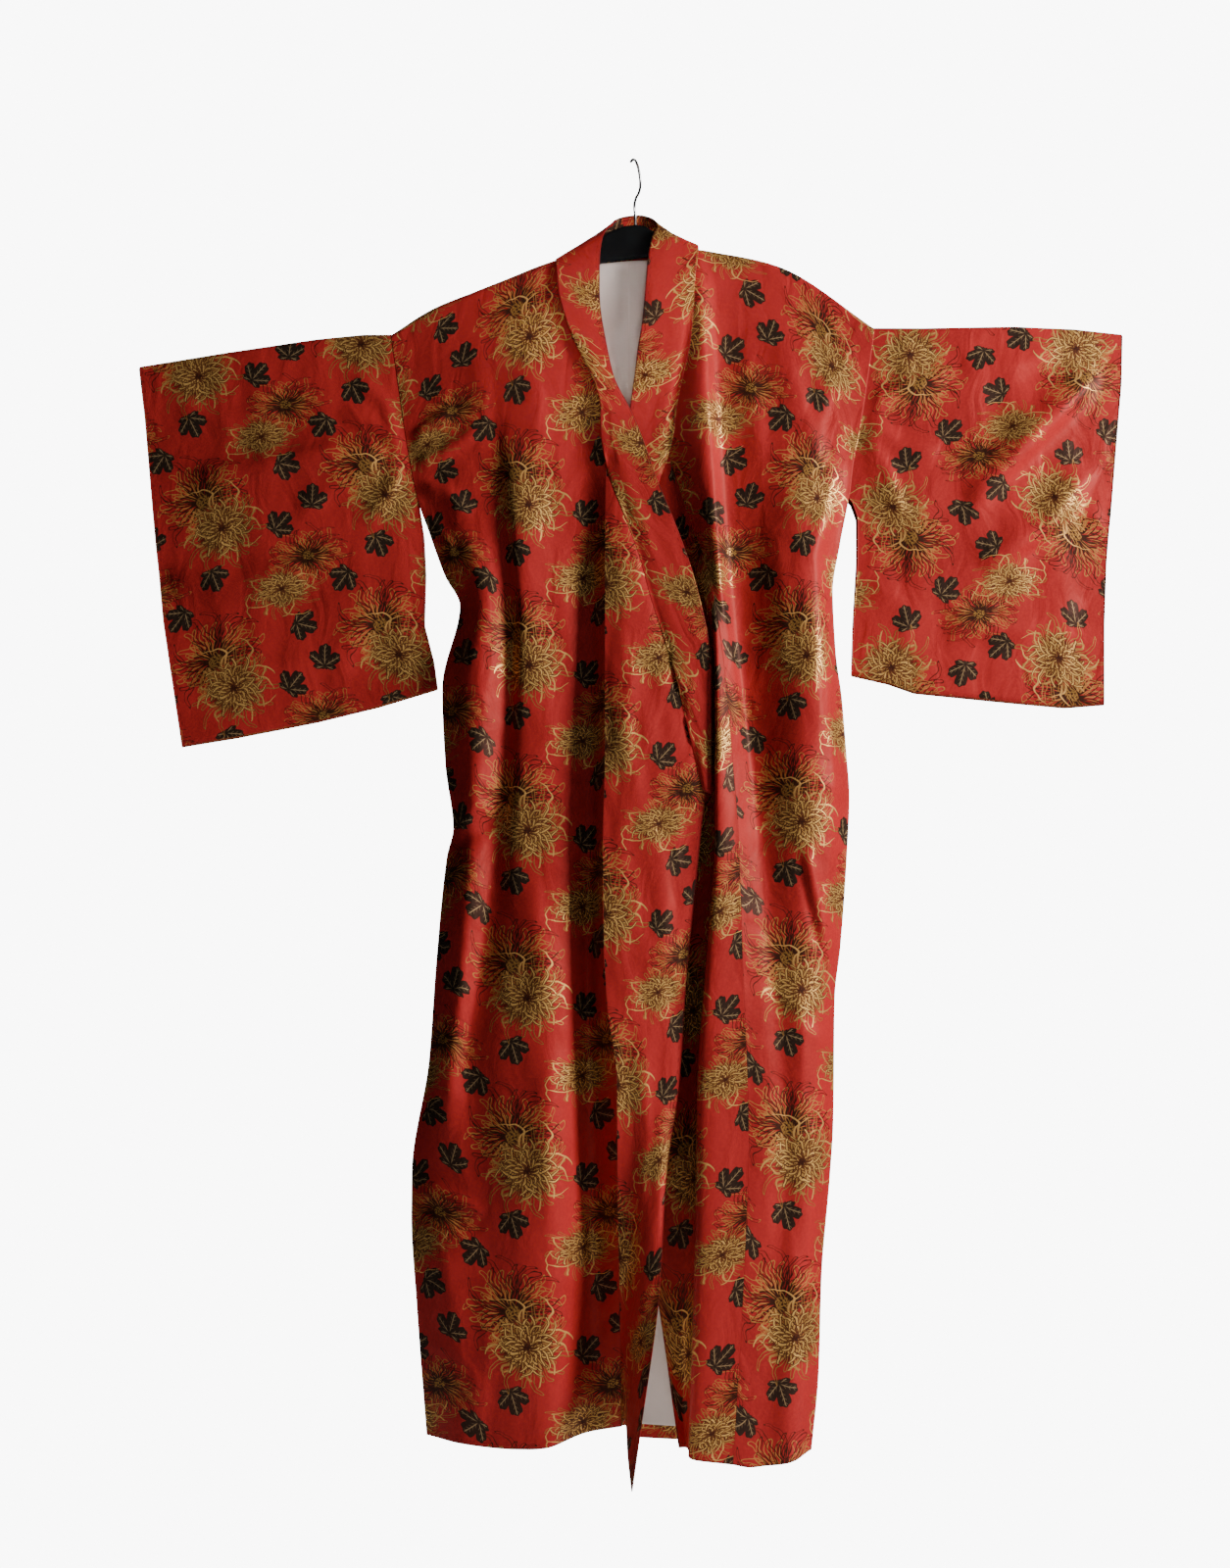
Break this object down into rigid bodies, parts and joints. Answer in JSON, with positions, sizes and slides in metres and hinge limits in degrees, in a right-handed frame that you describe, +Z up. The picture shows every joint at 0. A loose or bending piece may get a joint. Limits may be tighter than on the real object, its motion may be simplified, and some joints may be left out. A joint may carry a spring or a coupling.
{
  "type": "kimono on hanger",
  "caption": "Woman's red brocade kimono with wide sleeves, hanging open-fronted on a plastic hanger with a wire hook.",
  "frame": {"origin": "the hang point, the underside of the hook's crest", "axes": "+Z up, -Y towards the front of the garment, +X to the right as seen from the front"},
  "size_m": [1.2972, 0.1594, 1.6947],
  "materials": {
    "brocade": "red satin brocade with gold, copper and black thread chrysanthemums and leaves",
    "lining": "plain off-white lining",
    "hanger_plastic": "satin black moulded plastic",
    "hook_wire": "bright plated wire"
  },
  "bodies": {
    "root": {"body_left": "brocade", "body_right": "brocade", "okumi_left": "brocade", "okumi_right": "brocade", "collar": "brocade", "sleeve_left": "brocade", "sleeve_right": "brocade", "lining_back": "lining", "hanger_body": "hanger_plastic", "hanger_hook": "hook_wire"}
  },
  "joints": []
}
